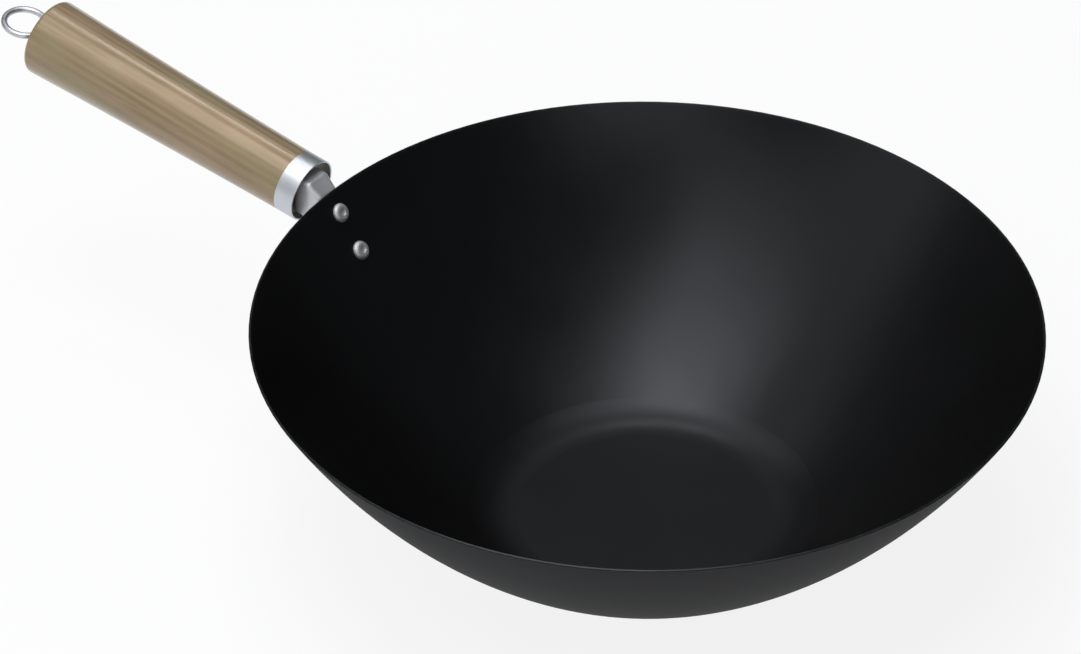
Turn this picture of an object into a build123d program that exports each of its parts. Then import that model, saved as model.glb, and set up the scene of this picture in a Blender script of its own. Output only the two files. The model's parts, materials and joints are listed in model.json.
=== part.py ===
from build123d import *
import math
import os

# A flat-bottomed carbon steel wok with one riveted wooden handle, in millimetres.
# The origin is the centre of the base's underside, +Z is up, and the handle points along +X.

os.makedirs("parts", exist_ok=True)

# Shared
overrun = 2.0                    # how far a cut passes the faces that it goes through
seat_gap = 0.08                  # between curved sheets and heads that are riveted together
slip_gap = 0.05                  # round a piece that is pushed or turned into its seat

# Bowl, pressed from one sheet
rim_radius = 175.0
bowl_height = 107.7              # to the outer edge of the rim
bowl_sheet = 1.2
base_flat_radius = 57.7
base_corner_radius = 38.0        # inside the bowl
wall_foot_angle = 32.9           # slope in degrees where the base corner meets the wall
rim_edge_radius = 0.4

# Handle line, measured from the rim to the centre of the ferrule's open mouth
handle_angle = 10.2              # degrees above level
mouth_beyond_rim = 9.8
mouth_below_rim = 2.85

# Ferrule, a short open tube flush with the grip
neck_radius = 15.15              # outside of the ferrule and of the grip's thin end
ferrule_wall = 0.8
ferrule_length = 10.0
ferrule_edge_radius = 0.3

# Wooden grip, turned
grip_length = 145.9
butt_radius = 18.7
butt_edge_radius = 2.0
grip_hollow = 0.3                # how far the side dips below a straight taper
tenon_recess = 4.5               # from the ferrule's mouth in to the tenon's end

# Tie rod with its hanging eye
rod_radius = 2.0
rod_bore_gap = 0.3               # round the rod inside the wood
rod_end_length = 1.4             # thread showing past the nut
collar_radius = 4.5
collar_length = 0.9
eye_radius = 9.8                 # to the middle of the wire
eye_wire_radius = 1.5
eye_neck_length = 4.3            # from the butt to the middle of the wire

# Nut and spring washer on the tie rod
nut_across_flats = 7.0
nut_height = 3.2
washer_radius = 3.8
washer_thickness = 1.0
washer_slit = 0.8

# Handle bracket, a stamped channel that opens downwards
bracket_sheet = 1.5
channel_width = 14.8             # from the ridge into the ferrule
strap_width = 12.6               # from the rim down the wall
taper_bend_radius = 8.0          # in plan, where the sides taper between the two widths
channel_bend_radius = 2.4        # outside, where the web turns into the flanges
channel_clearance = 2.7          # from the channel's corners to the ferrule's bore
ridge_before_mouth = 2.05        # where the web bends down towards the bowl
ridge_bend_radius = 2.5
nose_bend_radius = 2.0
wall_bend_radius = 12.0
lift_off_distance = 0.6          # down the wall from the rim, where the web leaves the wall
flange_tip_depth = 4.5
flange_tip_radius = 2.8          # the rounded corner at the strap's end
flange_throat_radius = 9.0       # the bend in the flange's lower edge under the mouth
strap_end_margin = 9.0           # strap left below the lower rivet

# Rivets, measured down the wall from the rim
rivet_distances = {"upper_rivet": 10.8, "lower_rivet": 30.7}
rivet_head_radius = 4.5
rivet_head_height = 1.8
rivet_flat_radius = 2.1          # where the head's rounded edge meets its flattened top
rivet_dish_radius = 1.7          # the mark that the setting tool leaves in the middle
rivet_dish_depth = 0.5
dish_edge_share = 0.5            # of the dish's radius, at the middle of its curve
dish_depth_share = 0.8           # of the dish's depth, there
dome_edge_share = 0.25           # of the head's rounded edge, in from the rim to the arc's middle
dome_height_share = 0.7          # of the head's height, at the arc's middle
rivet_shank_radius = 2.4
rivet_tail_radius = 4.1
rivet_tail_height = 1.6

# The outer wall is one arc, tangent to the base corner and ending at the rim
foot_angle = math.radians(wall_foot_angle)
outer_corner_radius = base_corner_radius + bowl_sheet
foot_x = base_flat_radius + outer_corner_radius * math.sin(foot_angle)
foot_z = outer_corner_radius * (1 - math.cos(foot_angle))
wall_chord = math.hypot(rim_radius - foot_x, bowl_height - foot_z)
chord_angle = math.atan2(bowl_height - foot_z, rim_radius - foot_x)
rim_angle = 2 * chord_angle - foot_angle
wall_radius = wall_chord / (2 * math.sin(chord_angle - foot_angle))
wall_centre_x = foot_x - wall_radius * math.sin(foot_angle)
wall_centre_z = foot_z + wall_radius * math.cos(foot_angle)

# Places along the handle, counted outwards from the ferrule's mouth
handle_slope = math.radians(handle_angle)
mouth_x = rim_radius + mouth_beyond_rim
mouth_z = bowl_height - mouth_below_rim
butt_along = ferrule_length + grip_length
eye_along = butt_along + eye_neck_length + eye_radius
plate_front = tenon_recess - bracket_sheet
nut_back = plate_front - washer_thickness
nut_front = nut_back - nut_height
rod_front = nut_front - rod_end_length

# The channel's corners follow the ferrule's bore
ferrule_bore_radius = neck_radius - ferrule_wall
channel_half_width = channel_width / 2
strap_half_width = strap_width / 2
corner_reach = ferrule_bore_radius - channel_clearance
channel_half_height = math.sqrt(corner_reach ** 2 - channel_half_width ** 2)
strap_end_distance = rivet_distances["lower_rivet"] + strap_end_margin

handle_frame = Plane(
    origin=(mouth_x, 0, mouth_z),
    x_dir=(-math.sin(handle_slope), 0, math.cos(handle_slope)),
    z_dir=(math.cos(handle_slope), 0, math.sin(handle_slope)),
)


def wall_slope(distance):
    # Slope of the wall at a distance down it from the rim.
    return rim_angle - distance / wall_radius


def wall_point(distance, lift):
    # A point off the outside of the wall, lifted along its outward normal.
    slope = wall_slope(distance)
    reach = wall_radius + lift
    return (wall_centre_x + reach * math.sin(slope), wall_centre_z - reach * math.cos(slope))


def handle_point(along, above):
    # A point in the handle's upright plane, from distances along and above its axis.
    x = mouth_x + along * math.cos(handle_slope) - above * math.sin(handle_slope)
    z = mouth_z + along * math.sin(handle_slope) + above * math.cos(handle_slope)
    return (x, z)


def turned(section):
    # Spin a section drawn as radius and distance along the handle about the handle's axis.
    return handle_frame * revolve(Plane.XZ * section, Axis.Z)


def closed_face(points):
    return make_face(Polyline(points, close=True))


def corner_near(face, point):
    return face.vertices().sort_by_distance(Vector(point))[0]


def wall_frame(distance):
    # Origin on the outside of the wall, with +Z along the outward normal.
    slope = wall_slope(distance)
    x, z = wall_point(distance, 0)
    return Plane(
        origin=(x, 0, z),
        x_dir=(math.cos(slope), 0, math.sin(slope)),
        z_dir=(math.sin(slope), 0, -math.cos(slope)),
    )


def rivet_holes():
    # Round cutters through the wall and the bracket at each rivet.
    depth = bowl_sheet + seat_gap + bracket_sheet + 2 * overrun
    middle = (seat_gap + bracket_sheet - bowl_sheet) / 2
    cutter = Pos(0, 0, middle) * Cylinder(rivet_shank_radius + slip_gap, depth)
    return [wall_frame(distance) * cutter for distance in rivet_distances.values()]


def make_bowl():
    foot_degrees = math.degrees(foot_angle)
    wall_degrees = math.degrees(rim_angle - foot_angle)
    inner_wall_radius = wall_radius - bowl_sheet
    corner_centre = (base_flat_radius, outer_corner_radius)
    wall_centre = (wall_centre_x, wall_centre_z)
    outer_corner = CenterArc(corner_centre, outer_corner_radius, -90, foot_degrees)
    outer_wall = CenterArc(wall_centre, wall_radius, foot_degrees - 90, wall_degrees)
    inner_corner = CenterArc(corner_centre, base_corner_radius, -90, foot_degrees)
    inner_wall = CenterArc(wall_centre, inner_wall_radius, foot_degrees - 90, wall_degrees)
    section = make_face([
        Line((0, 0), outer_corner @ 0),
        outer_corner,
        outer_wall,
        Line(outer_wall @ 1, inner_wall @ 1),
        inner_wall,
        inner_corner,
        Line(inner_corner @ 0, (0, bowl_sheet)),
        Line((0, bowl_sheet), (0, 0)),
    ])
    rim_corners = [corner_near(section, outer_wall @ 1), corner_near(section, inner_wall @ 1)]
    section = fillet(rim_corners, rim_edge_radius)
    shell = revolve(Plane.XZ * section, Axis.Z)
    return shell - rivet_holes()


def channel_outline(extra, inset):
    # Side view of the channel. The extra opens the strap's end and the underside for the hollow.
    lift_off = wall_point(lift_off_distance, seat_gap)
    ridge = handle_point(-ridge_before_mouth, channel_half_height)
    web_angle = math.atan2(ridge[1] - lift_off[1], ridge[0] - lift_off[0])
    bend_shift = inset * math.tan((web_angle - handle_slope) / 2)
    end_distance = strap_end_distance + extra
    end_along = tenon_recess - inset
    bottom = -channel_half_height - extra
    inner_ridge = handle_point(bend_shift - ridge_before_mouth, channel_half_height - inset)
    web_length = math.dist(lift_off, ridge) + overrun
    web_start = (
        inner_ridge[0] - web_length * math.cos(web_angle),
        inner_ridge[1] - web_length * math.sin(web_angle),
    )
    corners = {
        "ridge": inner_ridge,
        "nose": handle_point(end_along, channel_half_height - inset),
        "chin": handle_point(end_along, bottom),
        "throat": handle_point(-ridge_before_mouth, bottom),
        "tip": wall_point(end_distance, seat_gap + flange_tip_depth + extra),
    }
    strap_end = wall_point(end_distance, -overrun)
    blank = closed_face([web_start, *corners.values(), strap_end])
    bowl_side = Circle(wall_radius + seat_gap + inset)
    outline = blank - Pos(wall_centre_x, wall_centre_z) * bowl_side
    return outline, {"lift_off": lift_off, **corners}


def plan_block(reach, inset):
    # The channel seen from above, wide at the ridge and narrow from the rim inwards.
    ridge_x, _ = handle_point(-ridge_before_mouth, channel_half_height)
    wide = channel_half_width - inset
    narrow = strap_half_width - inset
    start_x = reach.min.X - overrun
    end_x = reach.max.X + overrun
    far_side = [(start_x, narrow), (rim_radius, narrow), (ridge_x, wide), (end_x, wide)]
    near_side = [(x, -y) for x, y in reversed(far_side)]
    plan = closed_face(far_side + near_side)
    bends = far_side[1:3] + near_side[1:3]
    plan = fillet([corner_near(plan, place) for place in bends], taper_bend_radius)
    return extrude(plan, reach.max.Y + overrun)


def channel_solid(extra, inset):
    # The whole channel as a block, or with an inset of one sheet, the hollow inside it.
    outline, corners = channel_outline(extra, inset)
    bends = {
        "lift_off": wall_bend_radius - inset,
        "ridge": ridge_bend_radius - inset,
        "nose": nose_bend_radius - inset,
        "throat": flange_throat_radius,
        "tip": flange_tip_radius,
    }
    for name, radius in bends.items():
        outline = fillet(corner_near(outline, corners[name]), radius).face()
    side_block = extrude(Plane.XZ * outline, channel_half_width, both=True)
    block = side_block & plan_block(outline.bounding_box(), inset)
    # The long edges of the web are tangent from end to end, so one edge a side rounds them all.
    x, z = wall_point(rivet_distances["lower_rivet"], seat_gap + inset)
    half_width = strap_half_width - inset
    sides = [block.edges().sort_by_distance((x, y, z))[0] for y in (-half_width, half_width)]
    return fillet(sides, channel_bend_radius - inset)


def make_bracket():
    outer = channel_solid(0, 0)
    hollow = channel_solid(overrun + bracket_sheet, bracket_sheet)
    bore_length = bracket_sheet + 2 * overrun
    bore_middle = tenon_recess - bracket_sheet / 2
    bore = Pos(0, 0, bore_middle) * Cylinder(rod_radius + slip_gap, bore_length)
    return outer - hollow - rivet_holes() - handle_frame * bore


def make_rivet(distance):
    inside = -bowl_sheet - seat_gap
    outside = seat_gap + bracket_sheet + seat_gap
    head_end = inside - rivet_head_height
    tail_end = outside + rivet_tail_height
    dome_radius = rivet_head_radius - (rivet_head_radius - rivet_flat_radius) * dome_edge_share
    dome_middle = inside - rivet_head_height * dome_height_share
    dome = ThreePointArc(
        (rivet_head_radius, inside),
        (dome_radius, dome_middle),
        (rivet_flat_radius, head_end),
    )
    dish = ThreePointArc(
        (0, head_end + rivet_dish_depth),
        (rivet_dish_radius * dish_edge_share, head_end + rivet_dish_depth * dish_depth_share),
        (rivet_dish_radius, head_end),
    )
    section = make_face([
        dome,
        dish,
        Line(dish @ 1, dome @ 1),
        Polyline(
            dome @ 0,
            (rivet_shank_radius, inside),
            (rivet_shank_radius, outside),
            (rivet_tail_radius, outside),
            (rivet_tail_radius, tail_end),
            (0, tail_end),
            dish @ 0,
        ),
    ])
    return wall_frame(distance) * revolve(Plane.XZ * section, Axis.Z)


def make_ferrule():
    section = closed_face([
        (ferrule_bore_radius, 0),
        (neck_radius, 0),
        (neck_radius, ferrule_length),
        (ferrule_bore_radius, ferrule_length),
    ])
    mouth = [corner_near(section, (ferrule_bore_radius, 0)), corner_near(section, (neck_radius, 0))]
    return turned(fillet(mouth, ferrule_edge_radius))


def make_grip():
    tenon_radius = ferrule_bore_radius - slip_gap
    bore_radius = rod_radius + rod_bore_gap
    middle_radius = (neck_radius + butt_radius) / 2 - grip_hollow
    middle_along = ferrule_length + grip_length / 2
    side = ThreePointArc(
        (neck_radius, ferrule_length),
        (middle_radius, middle_along),
        (butt_radius, butt_along),
    )
    section = make_face([
        side,
        Polyline(
            side @ 1,
            (bore_radius, butt_along),
            (bore_radius, tenon_recess),
            (tenon_radius, tenon_recess),
            (tenon_radius, ferrule_length),
            side @ 0,
        ),
    ])
    return turned(fillet(corner_near(section, side @ 1), butt_edge_radius))


def make_tie_rod():
    wire_along = eye_along - eye_radius
    shaft = turned(closed_face([
        (0, rod_front),
        (rod_radius, rod_front),
        (rod_radius, butt_along),
        (collar_radius, butt_along),
        (collar_radius, butt_along + collar_length),
        (rod_radius, butt_along + collar_length),
        (eye_wire_radius, wire_along),
        (0, wire_along),
    ]))
    ring = Pos(0, 0, eye_along) * Rot(0, 90, 0) * Torus(eye_radius, eye_wire_radius)
    return shaft + handle_frame * ring


def make_nut():
    corner_radius = nut_across_flats / 2 / math.cos(math.pi / 6)
    hexagon = extrude(RegularPolygon(corner_radius, 6), nut_height)
    bore = Pos(0, 0, nut_height / 2) * Cylinder(rod_radius + slip_gap, nut_height + 2 * overrun)
    return handle_frame * (Pos(0, 0, nut_front) * (hexagon - bore))


def make_washer():
    middle = nut_back + washer_thickness / 2
    ring = Cylinder(washer_radius, washer_thickness)
    ring -= Cylinder(rod_radius + slip_gap, washer_thickness + 2 * overrun)
    slit_length = washer_radius + overrun
    slit_block = Box(slit_length, washer_slit, washer_thickness + overrun)
    slit = Pos(-slit_length / 2, 0, 0) * slit_block
    return handle_frame * (Pos(0, 0, middle) * (ring - slit))


parts = {
    "bowl": make_bowl(),
    "handle_bracket": make_bracket(),
    "ferrule": make_ferrule(),
    "wooden_grip": make_grip(),
    "tie_rod": make_tie_rod(),
    "tie_rod_nut": make_nut(),
    "spring_washer": make_washer(),
}
for name, distance in rivet_distances.items():
    parts[name] = make_rivet(distance)

for name, shape in parts.items():
    export_step(shape, f"parts/{name}.step")
    print(name, round(shape.volume, 1))
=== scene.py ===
import json
from math import atan2, cos, radians, sin

import bmesh
import bpy
from mathutils import Matrix, Vector

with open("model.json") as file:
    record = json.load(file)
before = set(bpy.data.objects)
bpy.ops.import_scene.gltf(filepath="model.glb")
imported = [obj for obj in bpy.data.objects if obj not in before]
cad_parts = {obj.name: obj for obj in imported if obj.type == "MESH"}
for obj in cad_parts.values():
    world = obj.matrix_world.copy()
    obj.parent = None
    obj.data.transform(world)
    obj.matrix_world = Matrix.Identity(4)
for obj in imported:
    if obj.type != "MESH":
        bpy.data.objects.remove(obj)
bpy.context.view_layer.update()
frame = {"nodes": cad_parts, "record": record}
nodes = frame["nodes"]
mounts = {row["name"]: row for row in frame["record"]["mounts"]}
print("frame loaded:", ", ".join(sorted(nodes)))

# the handle's line, read from the hanging eye, which lies square to it
eyeCentre = Vector(mounts["hanging_eye"]["pos_m"])
eyeAxis = Vector(mounts["hanging_eye"]["axis"])
handleTilt = atan2(-eyeAxis.x, eyeAxis.z)
handleTurn = (0.0, -handleTilt, 0.0)

rimHeight = 0.1077           # m, the rim's top above the floor
noiseSpan = {"From Min": 0.3, "From Max": 0.7}   # where most of a noise texture's values lie


def linear(hexColour):
    # sRGB hex to the linear values that the sockets take
    parts = [int(hexColour[i:i + 2], 16) / 255 for i in (1, 3, 5)]
    return [p / 12.92 if p <= 0.04045 else ((p + 0.055) / 1.055) ** 2.4 for p in parts] + [1.0]


def addNode(tree, kind, links=None, **settings):
    # one node: its settings, then its sockets, each a value or another node's output
    node = tree.nodes.new("ShaderNode" + kind)
    for name, value in settings.items():
        setattr(node, name, value)
    for socket, value in (links or {}).items():
        if isinstance(value, bpy.types.NodeSocket):
            tree.links.new(value, node.inputs[socket])
        else:
            node.inputs[socket].default_value = value
    return node


def startMaterial(name):
    # a material that holds only its output and a Principled shader
    material = bpy.data.materials.new(name)
    material.use_nodes = True
    tree = material.node_tree
    return material, tree, tree.nodes["Principled BSDF"]


def feedShader(tree, shader, colour, rough, bump):
    # what varies over every finish here: its colour, its roughness and its fine relief
    tree.links.new(colour, shader.inputs["Base Color"])
    tree.links.new(rough, shader.inputs["Roughness"])
    tree.links.new(bump, shader.inputs["Normal"])


def dress(nodeName, material):
    # the CAD mesh stays as it is, only its slots change
    slots = nodes[nodeName].material_slots
    for slotRow in slots:
        slotRow.material = material
    if not slots:
        nodes[nodeName].data.materials.append(material)


# Camera. Angles are read off the photo: its right-hand direction is photoTurn degrees
# round from the handle's direction, seen from above.
view = {
    "photoTurn": 146.33,
    "distance": 2.1971,      # from the middle of the bowl's rim, m
    "lookDown": 36.048,      # degrees
    "aimRight": -1.217,      # small turns that put the wok where the photo has it, degrees
    "aimUp": -0.0755,
    "roll": -0.660,
    "lens": 166.51,          # mm
    "sensor": 36,            # mm
}
partFromPhoto = Matrix.Rotation(-radians(view["photoTurn"]), 3, "Z")


def makeCamera():
    down = radians(view["lookDown"])
    forward = Vector((0, cos(down), -sin(down)))
    right = Vector((1, 0, 0))
    up = right.cross(forward)
    place = Vector((0, 0, rimHeight)) - forward * view["distance"]
    turn = Matrix.Rotation(-radians(view["aimRight"]), 3, up)
    forward, right = turn @ forward, turn @ right
    turn = Matrix.Rotation(radians(view["aimUp"]), 3, right)
    forward, up = turn @ forward, turn @ up
    turn = Matrix.Rotation(radians(view["roll"]), 3, forward)
    right, up = turn @ right, turn @ up
    camera = bpy.data.objects.new("camera", bpy.data.cameras.new("camera"))
    bpy.context.scene.collection.objects.link(camera)
    axes = [partFromPhoto @ axis for axis in (right, up, -forward)]
    camera.matrix_world = Matrix.Translation(partFromPhoto @ place) @ Matrix(axes).transposed().to_4x4()
    camera.data.sensor_fit = "HORIZONTAL"
    camera.data.sensor_width = view["sensor"]
    camera.data.lens = view["lens"]
    bpy.context.scene.camera = camera


makeCamera()
print("camera placed")

# Lamps: soft boxes that all face the wok. side is degrees round from the photo's right
# (90 is behind the wok, 270 in front), height is degrees above the floor, lengths are in m
# and power in W.
lamps = {
    "overheadBox": {"side": 222, "height": 71, "distance": 2.4, "width": 1.7, "tall": 1.7, "power": 26.5},
    "topBox": {"side": 222, "height": 84, "distance": 2.4, "width": 1.3, "tall": 1.3, "power": 11.7},
    "backStrip": {"side": 93, "height": 60, "distance": 3.0, "width": 0.6, "tall": 0.3, "power": 6.3},
    "backBox": {"side": 90, "height": 40, "distance": 3.0, "width": 1.6, "tall": 1.0, "power": 1.0},
    "backLeftBox": {"side": 135, "height": 60, "distance": 3.0, "width": 1.3, "tall": 1.2, "power": 6.0},
    "lowLeftBox": {"side": 150, "height": 43, "distance": 3.0, "width": 1.6, "tall": 0.8, "power": 3.0},
    "topRightBox": {"side": 20, "height": 74, "distance": 2.4, "width": 1.0, "tall": 0.9, "power": 4.5},
    "leftBox": {"side": 190, "height": 38, "distance": 3.0, "width": 1.8, "tall": 1.0, "power": 3.5},
    "frontLeftBox": {"side": 235, "height": 40, "distance": 3.0, "width": 2.0, "tall": 1.0, "power": 5.8},
    "leftBoard": {"side": 195, "height": 16, "distance": 3.0, "width": 2.0, "tall": 1.5, "power": 7.6},
    "frontBoard": {"side": 275, "height": 16, "distance": 3.0, "width": 2.0, "tall": 1.5, "power": 17.4},
}
lampAim = Vector((0, 0, 0.06))   # m, inside the bowl
room = {"colour": "#f3f6fa", "strength": 0.125, "white": 0.95}   # white: its strength to the camera


def makeLamp(name, row):
    side, height = radians(row["side"]), radians(row["height"])
    away = partFromPhoto @ Vector((cos(side) * cos(height), sin(side) * cos(height), sin(height)))
    data = bpy.data.lights.new(name, "AREA")
    data.shape = "RECTANGLE"
    data.size = row["width"]
    data.size_y = row["tall"]
    data.energy = row["power"]
    lamp = bpy.data.objects.new(name, data)
    bpy.context.scene.collection.objects.link(lamp)
    turn = away.to_track_quat("Z", "Y").to_matrix().to_4x4()
    lamp.matrix_world = Matrix.Translation(lampAim + away * row["distance"]) @ turn
    lamp.visible_camera = False   # the side views look past the lamps


for lampName, lampRow in lamps.items():
    makeLamp(lampName, lampRow)

world = bpy.data.worlds.new("room")
bpy.context.scene.world = world
world.use_nodes = True
roomTree = world.node_tree
roomLight = roomTree.nodes["Background"]
roomLight.inputs["Color"].default_value = linear(room["colour"])
# the camera sees the room white, and the wok is lit by it at its own, lower strength
roomPath = addNode(roomTree, "LightPath")
roomStrength = addNode(roomTree, "MapRange", {"Value": roomPath.outputs["Is Camera Ray"],
                                              "To Min": room["strength"], "To Max": room["white"]})
roomTree.links.new(roomStrength.outputs[0], roomLight.inputs["Strength"])
print("lamps and room light made")

# Floor: a pale sheet. What the camera, metal and glass see of it is mostly plain white,
# and the rest still takes the wok's shadow.
floorLook = {
    "radius": 12.0,          # m
    "segments": 96,
    "drop": 0.0001,          # m, a hair under the base, so the two never lie in one plane
    "colour": "#eef0f1",
    "whiteShare": 0.86,      # how much of it is plain white to those three
}


def makeFloor():
    mesh = bpy.data.meshes.new("floor")
    sheet = bmesh.new()
    bmesh.ops.create_circle(sheet, cap_ends=True, segments=floorLook["segments"],
                            radius=floorLook["radius"],
                            matrix=Matrix.Translation((0.0, 0.0, -floorLook["drop"])))
    bmesh.ops.recalc_face_normals(sheet, faces=sheet.faces)
    if sheet.faces[:][0].normal.z < 0:
        bmesh.ops.reverse_faces(sheet, faces=sheet.faces)
    sheet.to_mesh(mesh)
    sheet.free()
    floor = bpy.data.objects.new("floor", mesh)
    bpy.context.scene.collection.objects.link(floor)
    material = bpy.data.materials.new("paper sweep, plain and matt")
    material.use_nodes = True
    tree = material.node_tree
    tree.nodes.remove(tree.nodes["Principled BSDF"])
    paper = addNode(tree, "BsdfDiffuse", {"Color": linear(floorLook["colour"])})
    white = addNode(tree, "Emission", {"Color": (1, 1, 1, 1), "Strength": 1.0})
    path = addNode(tree, "LightPath")
    seen = addNode(tree, "Math", {0: path.outputs["Is Camera Ray"], 1: path.outputs["Is Glossy Ray"]},
                   operation="ADD")
    seen = addNode(tree, "Math", {0: seen.outputs[0], 1: path.outputs["Is Transmission Ray"]},
                   operation="ADD", use_clamp=True)
    share = addNode(tree, "Math", {0: seen.outputs[0], 1: floorLook["whiteShare"]},
                    operation="MULTIPLY")
    both = addNode(tree, "MixShader", {0: share.outputs[0], 1: paper.outputs[0], 2: white.outputs[0]})
    # from below there's no floor, so the underside can be looked at
    under = addNode(tree, "NewGeometry").outputs["Backfacing"]
    clear = addNode(tree, "BsdfTransparent")
    floorShader = addNode(tree, "MixShader", {0: under, 1: both.outputs[0], 2: clear.outputs[0]})
    tree.links.new(floorShader.outputs[0], tree.nodes["Material Output"].inputs["Surface"])
    mesh.materials.append(material)


makeFloor()
print("floor laid")

# Carbon steel pressed to shape, then sprayed with a black non-stick coat and baked: almost
# black, satin with a soft sheen inside, matt outside. The spray leaves a faint orange peel,
# and the coat is a little rubbed on the rim's edge and on the foot that stands on the floor.
coat = {
    "black": "#040404",
    "lightBlack": "#070708",
    "ior": 1.375,            # a fluoropolymer's, so its gloss is faint
    "sheen": "#f3f7ff",      # that gloss leans a little blue
    "roughness": (0.31, 0.37),
    "outsideRoughness": 0.80,
    "spot": (0.0, 0.0, 0.25),   # m, above the bowl: faces that point away from it are outside
    "peelSize": 0.0016,      # m, one bump of the orange peel
    "peelDepth": 0.000006,
    "cloudSize": 0.045,      # m, where the spray lies thicker
    "rubbed": "#3b3c3e",     # the steel begins to show through
    "rimRub": 0.15,          # share of that tone on the rim's edge
    "rimWidth": 0.0009,      # m, over which it fades out below the rim
    "footRub": 0.45,
    "footHeights": (0.0003, 0.00002),   # m, from whole coat down to rubbed
    "scuffScale": 260.0,     # per m, scuffs of about 4 mm
    "scuffSpan": (0.35, 0.62),   # noise values, from whole coat to scuffed
}


def coatMaterial():
    material, tree, shader = startMaterial("satin black baked coat on carbon steel")
    texture = addNode(tree, "TexCoord")
    place = texture.outputs["Object"]
    cloud = addNode(tree, "TexNoise", {"Vector": place, "Scale": 1 / coat["cloudSize"], "Detail": 3.0})
    peel = addNode(tree, "TexNoise", {"Vector": place, "Scale": 1 / coat["peelSize"], "Detail": 2.0})
    black = addNode(tree, "Mix", {0: cloud.outputs[0], 6: linear(coat["black"]),
                                  7: linear(coat["lightBlack"])}, data_type="RGBA")
    # the cut edge of the rim and the foot: a mask by height, broken up by the noise
    height = addNode(tree, "SeparateXYZ", {0: place}).outputs["Z"]
    rim = addNode(tree, "MapRange", {"Value": height, "From Min": rimHeight - coat["rimWidth"],
                                     "From Max": rimHeight, "To Min": 0.0, "To Max": coat["rimRub"]})
    whole, worn = coat["footHeights"]
    foot = addNode(tree, "MapRange", {"Value": height, "From Min": whole, "From Max": worn,
                                      "To Min": 0.0, "To Max": coat["footRub"]})
    edge = addNode(tree, "Math", {0: rim.outputs[0], 1: foot.outputs[0]}, operation="MAXIMUM")
    scuff = addNode(tree, "TexNoise", {"Vector": place, "Scale": coat["scuffScale"], "Detail": 4.0})
    whole, worn = coat["scuffSpan"]
    scuffed = addNode(tree, "MapRange", {"Value": scuff.outputs[0], "From Min": whole, "From Max": worn})
    rub = addNode(tree, "Math", {0: edge.outputs[0], 1: scuffed.outputs[0]}, operation="MULTIPLY")
    colour = addNode(tree, "Mix", {0: rub.outputs[0], 6: black.outputs[2],
                                   7: linear(coat["rubbed"])}, data_type="RGBA")
    # satin inside, matt outside
    fromSpot = addNode(tree, "VectorMath", {0: place, 1: coat["spot"]}, operation="SUBTRACT")
    facing = addNode(tree, "VectorMath", {0: fromSpot.outputs[0], 1: texture.outputs["Normal"]},
                     operation="DOT_PRODUCT")
    outside = addNode(tree, "Math", {0: facing.outputs["Value"], 1: 0.0}, operation="GREATER_THAN")
    low, high = coat["roughness"]
    inner = addNode(tree, "MapRange", {"Value": cloud.outputs[0], **noiseSpan,
                                       "To Min": low, "To Max": high})
    rough = addNode(tree, "Mix", {0: outside.outputs[0], 2: inner.outputs[0],
                                  3: coat["outsideRoughness"]})
    bump = addNode(tree, "Bump", {"Strength": 0.5, "Distance": coat["peelDepth"],
                                  "Height": peel.outputs[0]})
    feedShader(tree, shader, colour.outputs[2], rough.outputs[0], bump.outputs[0])
    shader.inputs["IOR"].default_value = coat["ior"]
    shader.inputs["Specular Tint"].default_value = linear(coat["sheen"])
    return material


dress("bowl", coatMaterial())
print("bowl coated")

# Mild steel rolled, pressed or drawn, which leaves fine lines, then plated satin with nickel
# or zinc: a pale, cool metal with wide soft highlights and a faint mottle from the bath.
# along scales the pattern down the handle and across it: the lines run far where it is small.
plating = {
    "lineSize": 0.0006,      # m, draw lines; real ones are finer and wouldn't show
    "lineDepth": 0.000004,   # m
    "mottleSize": 0.006,     # m
    "mottleShare": 0.5,      # of the mottle, over the lines
    "span": (0.35, 0.65),    # where most values of the two mixed noises lie
}
bandLook = {"dull": "#b9bdc4", "bright": "#d0d4da", "along": (1.0, 0.04, 0.04), "roughness": (0.36, 0.44)}
strapLook = {"dull": "#c2c4ca", "bright": "#dadce1", "along": (0.06, 1.0, 1.0), "roughness": (0.52, 0.62)}
wireLook = {"dull": "#b6b9be", "bright": "#ced1d5", "along": (0.08, 1.0, 1.0), "roughness": (0.34, 0.44)}


def platedMaterial(name, look):
    material, tree, shader = startMaterial(name)
    place = addNode(tree, "TexCoord").outputs["Object"]
    turned = addNode(tree, "Mapping", {"Vector": place, "Location": eyeCentre, "Rotation": handleTurn},
                     vector_type="TEXTURE").outputs[0]
    stretched = addNode(tree, "Mapping", {"Vector": turned, "Scale": look["along"]}).outputs[0]
    lines = addNode(tree, "TexNoise", {"Vector": stretched, "Scale": 1 / plating["lineSize"],
                                       "Detail": 2.0})
    mottle = addNode(tree, "TexNoise", {"Vector": place, "Scale": 1 / plating["mottleSize"],
                                        "Detail": 3.0})
    both = addNode(tree, "Mix", {0: plating["mottleShare"], 2: lines.outputs[0], 3: mottle.outputs[0]})
    colour = addNode(tree, "Mix", {0: both.outputs[0], 6: linear(look["dull"]),
                                   7: linear(look["bright"])}, data_type="RGBA")
    least, most = plating["span"]
    low, high = look["roughness"]
    rough = addNode(tree, "MapRange", {"Value": both.outputs[0], "From Min": least, "From Max": most,
                                       "To Min": low, "To Max": high})
    bump = addNode(tree, "Bump", {"Strength": 0.4, "Distance": plating["lineDepth"],
                                  "Height": lines.outputs[0]})
    feedShader(tree, shader, colour.outputs[2], rough.outputs[0], bump.outputs[0])
    shader.inputs["Metallic"].default_value = 1.0
    return material


dress("ferrule", platedMaterial("nickel plated rolled band", bandLook))
dress("handle_bracket", platedMaterial("zinc plated pressed strap", strapLook))
wireFinish = platedMaterial("dull plated wire", wireLook)
for nodeName in ("tie_rod", "tie_rod_nut", "spring_washer"):
    dress(nodeName, wireFinish)
print("plated parts finished")

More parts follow.
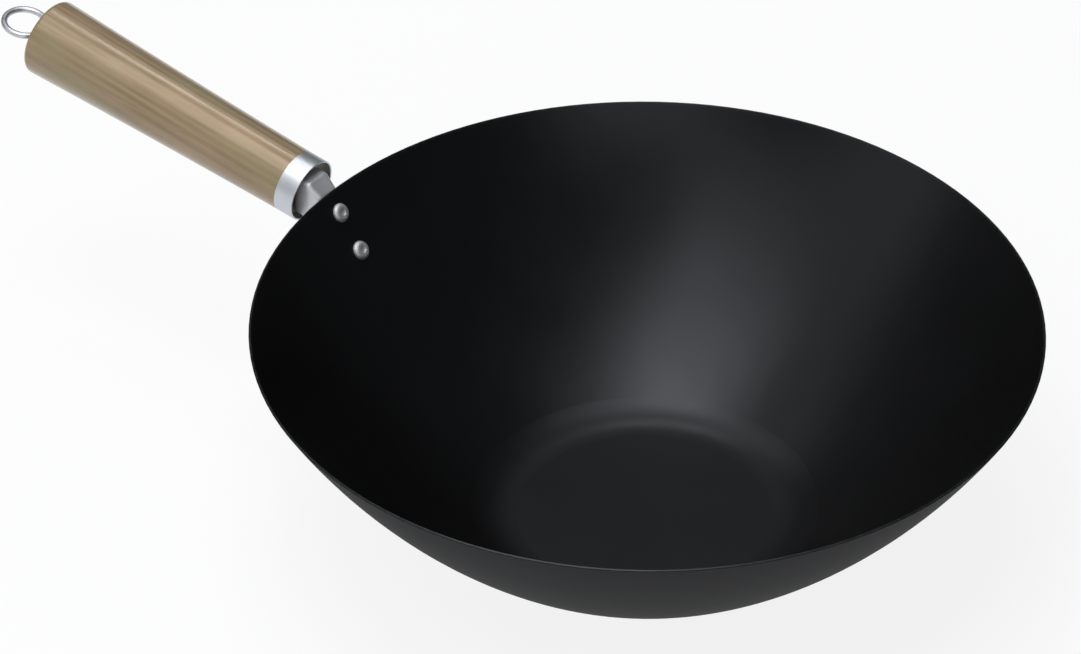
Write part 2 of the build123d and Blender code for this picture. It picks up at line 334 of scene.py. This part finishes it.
# Solid steel rivets, tumbled in a barrel before they're set: dull grey with small dents.
rivetLook = {
    "pale": "#dcdcdd",
    "dark": "#b4b5b6",
    "toneScale": 320.0,      # per m, patches of about 3 mm
    "dentSize": 0.0009,      # m
    "dentDepth": 0.00003,
    "roughness": (0.54, 0.66),
}


def rivetMaterial():
    material, tree, shader = startMaterial("tumbled steel rivet")
    place = addNode(tree, "TexCoord").outputs["Object"]
    dents = addNode(tree, "TexNoise", {"Vector": place, "Scale": 1 / rivetLook["dentSize"], "Detail": 3.0})
    tone = addNode(tree, "TexNoise", {"Vector": place, "Scale": rivetLook["toneScale"], "Detail": 2.0})
    colour = addNode(tree, "Mix", {0: tone.outputs[0], 6: linear(rivetLook["dark"]),
                                   7: linear(rivetLook["pale"])}, data_type="RGBA")
    low, high = rivetLook["roughness"]
    rough = addNode(tree, "MapRange", {"Value": dents.outputs[0], **noiseSpan,
                                       "To Min": low, "To Max": high})
    bump = addNode(tree, "Bump", {"Strength": 0.5, "Distance": rivetLook["dentDepth"],
                                  "Height": dents.outputs[0]})
    feedShader(tree, shader, colour.outputs[2], rough.outputs[0], bump.outputs[0])
    shader.inputs["Metallic"].default_value = 1.0
    return material


rivetFinish = rivetMaterial()
dress("upper_rivet", rivetFinish)
dress("lower_rivet", rivetFinish)
print("rivets finished")

# A pale open-grained hardwood such as ash, turned on a lathe, sanded along the grain and
# sealed with a thin satin lacquer: fine soft streaks that run the whole length, a warm gloss.
wood = {
    "late": "#7b6a50",       # the harder, darker part of each growth ring
    "early": "#8e7d63",
    "rosy": "#988069",       # pinkish clouds
    "green": "#888063",      # greenish grey clouds
    "pith": (0.0, 0.055, -0.035),    # m, from the pith, well outside the grip, to the hanging eye
    "pithTurn": (0.0, 0.02, 0.015),  # radians, the pith isn't quite in line with the grip
    "ringStretch": 0.1,      # scale along the grain, so the rings drift slowly
    "ringWidth": 0.0030,     # m
    "waveSpacing": 0.314,    # between a wave texture's rings at scale 1
    "streakSize": 0.0012,    # m across the grain
    "streakShare": 0.7,      # of the streaks, over the rings
    "fibreSize": 0.0006,     # m
    "fibreTone": (0.93, 1.06),   # how much fibres darken and lighten it
    "fibreDepth": 0.00003,   # m
    "grainStretch": 0.012,   # scale along the grain, where all is far longer
    "cloudSize": 0.014,      # m
    "cloudStretch": 0.4,
    "cloudSpan": (0.48, 0.68),   # noise values, from no cloud to its middle
    "cloudShare": 0.55,
    "ior": 1.5,
    "roughness": (0.25, 0.31),
    "lacquer": 0.55,         # weight of the gloss over the wood
    "lacquerRoughness": 0.20,
    "lacquerIor": 1.55,
    "amber": "#ffd3a0",      # the lacquer has yellowed and warms its gloss
}


def woodMaterial():
    material, tree, shader = startMaterial("turned ash under satin lacquer")
    place = addNode(tree, "TexCoord").outputs["Object"]
    local = addNode(tree, "Mapping", {"Vector": place, "Location": eyeCentre, "Rotation": handleTurn},
                    vector_type="TEXTURE").outputs[0]
    # growth rings about the pith
    fromPith = addNode(tree, "Mapping", {"Vector": local, "Location": wood["pith"],
                                         "Rotation": wood["pithTurn"],
                                         "Scale": (wood["ringStretch"], 1.0, 1.0)})
    rings = addNode(tree, "TexWave", {"Vector": fromPith.outputs[0],
                                      "Scale": wood["waveSpacing"] / wood["ringWidth"],
                                      "Distortion": 1.2, "Detail": 2.0, "Detail Scale": 1.5},
                    wave_type="RINGS", rings_direction="X", wave_profile="SIN")
    longGrain = addNode(tree, "Mapping", {"Vector": local, "Scale": (wood["grainStretch"], 1.0, 1.0)})
    streaks = addNode(tree, "TexNoise", {"Vector": longGrain.outputs[0], "Scale": 1 / wood["streakSize"],
                                         "Detail": 2.0})
    fibres = addNode(tree, "TexNoise", {"Vector": longGrain.outputs[0], "Scale": 1 / wood["fibreSize"],
                                        "Detail": 2.0})
    soft = addNode(tree, "Mix", {0: wood["streakShare"], 2: rings.outputs["Fac"], 3: streaks.outputs[0]})
    tone = addNode(tree, "MapRange", {"Value": soft.outputs[0], **noiseSpan})
    streaked = addNode(tree, "Mix", {0: tone.outputs[0], 6: linear(wood["late"]),
                                     7: linear(wood["early"])}, data_type="RGBA")
    darker, lighter = wood["fibreTone"]
    fibreTone = addNode(tree, "MapRange", {"Value": fibres.outputs[0], **noiseSpan,
                                           "To Min": darker, "To Max": lighter})
    fibred = addNode(tree, "VectorMath", {0: streaked.outputs[2], 3: fibreTone.outputs[0]},
                     operation="SCALE")
    # clouds of each tone, where its own noise is high; offset moves the second noise away
    tinted = fibred.outputs[0]
    least, most = wood["cloudSpan"]
    for offset, cloudTone in ((0.0, wood["rosy"]), (3.1, wood["green"])):
        moved = addNode(tree, "Mapping", {"Vector": local, "Location": (offset, offset, 0.0),
                                          "Scale": (wood["cloudStretch"], 1.0, 1.0)})
        cloud = addNode(tree, "TexNoise", {"Vector": moved.outputs[0], "Scale": 1 / wood["cloudSize"],
                                           "Detail": 1.0})
        share = addNode(tree, "MapRange", {"Value": cloud.outputs[0], "From Min": least, "From Max": most,
                                           "To Min": 0.0, "To Max": wood["cloudShare"]})
        tinted = addNode(tree, "Mix", {0: share.outputs[0], 6: tinted, 7: linear(cloudTone)},
                         data_type="RGBA").outputs[2]
    low, high = wood["roughness"]
    rough = addNode(tree, "MapRange", {"Value": fibres.outputs[0], **noiseSpan,
                                       "To Min": high, "To Max": low})
    bump = addNode(tree, "Bump", {"Strength": 0.4, "Distance": wood["fibreDepth"],
                                  "Height": fibres.outputs[0]})
    feedShader(tree, shader, tinted, rough.outputs[0], bump.outputs[0])
    shader.inputs["IOR"].default_value = wood["ior"]
    shader.inputs["Coat Weight"].default_value = wood["lacquer"]
    shader.inputs["Coat Roughness"].default_value = wood["lacquerRoughness"]
    shader.inputs["Coat IOR"].default_value = wood["lacquerIor"]
    shader.inputs["Specular Tint"].default_value = linear(wood["amber"])
    return material


dress("wooden_grip", woodMaterial())
print("grip finished")

bpy.context.scene.view_settings.view_transform = "Standard"
